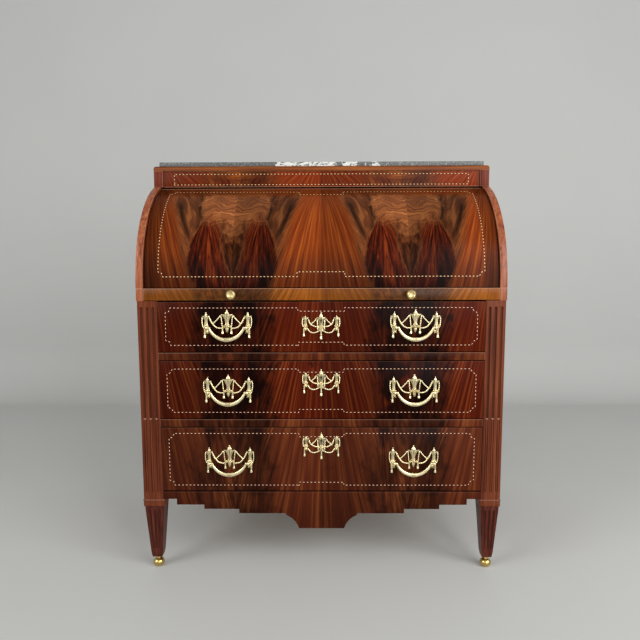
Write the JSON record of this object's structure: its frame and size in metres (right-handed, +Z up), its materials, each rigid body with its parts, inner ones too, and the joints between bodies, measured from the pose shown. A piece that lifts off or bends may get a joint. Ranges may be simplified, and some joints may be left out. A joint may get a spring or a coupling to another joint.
{
  "type": "cylinder front bureau",
  "caption": "Cylinder-front writing bureau on tapered legs: a quarter-round panel opens over a pull-out writing slide, with long drawers below and a marble top.",
  "frame": {"origin": "on the floor, at the middle of the object's length and depth", "axes": "+Z up, -Y out of the drawer fronts, +X to the right seen from the front"},
  "size_m": [1.04, 0.616, 1.2153],
  "materials": {
    "veneer": "french-polished flame mahogany",
    "oak": "oiled oak",
    "brass": "lacquered cast brass",
    "marble": "polished grey marble",
    "hide": "tooled calf",
    "iron": "filed iron"
  },
  "bodies": {
    "carcase": {"left_side": "veneer", "right_side": "veneer", "left_pilaster": "veneer", "right_pilaster": "veneer", "front_left_leg": "veneer", "front_right_leg": "veneer", "rear_left_leg": "veneer", "rear_right_leg": "veneer", "ball_feet": "brass", "bottom_board": "oak", "back_panel": "oak", "apron": "veneer", "upper_rail": "veneer", "lower_rail": "veneer", "drawer_runners": "oak", "slide_bed": "oak", "frieze_panel": "veneer", "frieze_ends": "veneer", "top_board": "veneer", "marble_top": "marble", "pivot_pins": "iron", "nest_case": "oak", "nest_dividers": "oak"},
    "cylinder": {"cylinder_panel": "veneer", "left_quadrant_arm": "iron", "right_quadrant_arm": "iron"},
    "slide": {"writing_board": "oak", "slide_front": "veneer", "leather_inset": "hide", "slide_knobs": "brass", "slide_brackets": "iron"},
    "upper_drawer": {"upper_drawer_front": "veneer", "upper_drawer_box": "oak", "upper_drawer_bottom": "oak", "upper_handle_plates": "brass", "upper_escutcheon": "brass", "upper_lock": "iron"},
    "upper_left_bail": {"upper_left_bail": "brass"},
    "upper_right_bail": {"upper_right_bail": "brass"},
    "upper_lock_bolt": {"upper_lock_bolt": "iron"},
    "middle_drawer": {"middle_drawer_front": "veneer", "middle_drawer_box": "oak", "middle_drawer_bottom": "oak", "middle_handle_plates": "brass", "middle_escutcheon": "brass", "middle_lock": "iron"},
    "middle_left_bail": {"middle_left_bail": "brass"},
    "middle_right_bail": {"middle_right_bail": "brass"},
    "middle_lock_bolt": {"middle_lock_bolt": "iron"},
    "lower_drawer": {"lower_drawer_front": "veneer", "lower_drawer_box": "oak", "lower_drawer_bottom": "oak", "lower_handle_plates": "brass", "lower_escutcheon": "brass", "lower_lock": "iron"},
    "lower_left_bail": {"lower_left_bail": "brass"},
    "lower_right_bail": {"lower_right_bail": "brass"},
    "lower_lock_bolt": {"lower_lock_bolt": "iron"},
    "nest_drawer_left": {"nest_drawer_left": "oak"},
    "nest_drawer_right": {"nest_drawer_right": "oak"}
  },
  "joints": [
    {"name": "writing_slide", "type": "slide", "parent": "carcase", "child": "slide", "axis": [0, -1, 0], "range_m": [0, 0.1565]},
    {"name": "cylinder_roll", "type": "hinge", "parent": "carcase", "child": "cylinder", "pos_m": [0, 0.037, 0.8403], "axis": [-1, 0, 0], "range_deg": [0, 68]},
    {"name": "upper_drawer_slide", "type": "slide", "parent": "carcase", "child": "upper_drawer", "axis": [0, -1, 0], "range_m": [0, 0.4]},
    {"name": "upper_left_bail_swing", "type": "hinge", "parent": "upper_drawer", "child": "upper_left_bail", "pos_m": [-0.265, -0.295, 0.7225], "axis": [-1, 0, 0], "range_deg": [0, 80]},
    {"name": "upper_right_bail_swing", "type": "hinge", "parent": "upper_drawer", "child": "upper_right_bail", "pos_m": [0.265, -0.295, 0.7225], "axis": [-1, 0, 0], "range_deg": [0, 80]},
    {"name": "upper_lock_bolt_throw", "type": "slide", "parent": "upper_drawer", "child": "upper_lock_bolt", "axis": [0, 0, 1], "range_m": [0, 0.0065]},
    {"name": "middle_drawer_slide", "type": "slide", "parent": "carcase", "child": "middle_drawer", "axis": [0, -1, 0], "range_m": [0, 0.4]},
    {"name": "middle_left_bail_swing", "type": "hinge", "parent": "middle_drawer", "child": "middle_left_bail", "pos_m": [-0.265, -0.295, 0.53725], "axis": [-1, 0, 0], "range_deg": [0, 80]},
    {"name": "middle_right_bail_swing", "type": "hinge", "parent": "middle_drawer", "child": "middle_right_bail", "pos_m": [0.265, -0.295, 0.53725], "axis": [-1, 0, 0], "range_deg": [0, 80]},
    {"name": "middle_lock_bolt_throw", "type": "slide", "parent": "middle_drawer", "child": "middle_lock_bolt", "axis": [0, 0, 1], "range_m": [0, 0.0065]},
    {"name": "lower_drawer_slide", "type": "slide", "parent": "carcase", "child": "lower_drawer", "axis": [0, -1, 0], "range_m": [0, 0.4]},
    {"name": "lower_left_bail_swing", "type": "hinge", "parent": "lower_drawer", "child": "lower_left_bail", "pos_m": [-0.265, -0.295, 0.3305], "axis": [-1, 0, 0], "range_deg": [0, 80]},
    {"name": "lower_right_bail_swing", "type": "hinge", "parent": "lower_drawer", "child": "lower_right_bail", "pos_m": [0.265, -0.295, 0.3305], "axis": [-1, 0, 0], "range_deg": [0, 80]},
    {"name": "lower_lock_bolt_throw", "type": "slide", "parent": "lower_drawer", "child": "lower_lock_bolt", "axis": [0, 0, 1], "range_m": [0, 0.0065]},
    {"name": "nest_drawer_left_slide", "type": "slide", "parent": "carcase", "child": "nest_drawer_left", "axis": [0, -1, 0], "range_m": [0, 0.12]},
    {"name": "nest_drawer_right_slide", "type": "slide", "parent": "carcase", "child": "nest_drawer_right", "axis": [0, -1, 0], "range_m": [0, 0.12]}
  ],
  "couplings": [
    {"joint": "cylinder_roll", "follows": "writing_slide", "rad_per_m": 7.578}
  ]
}
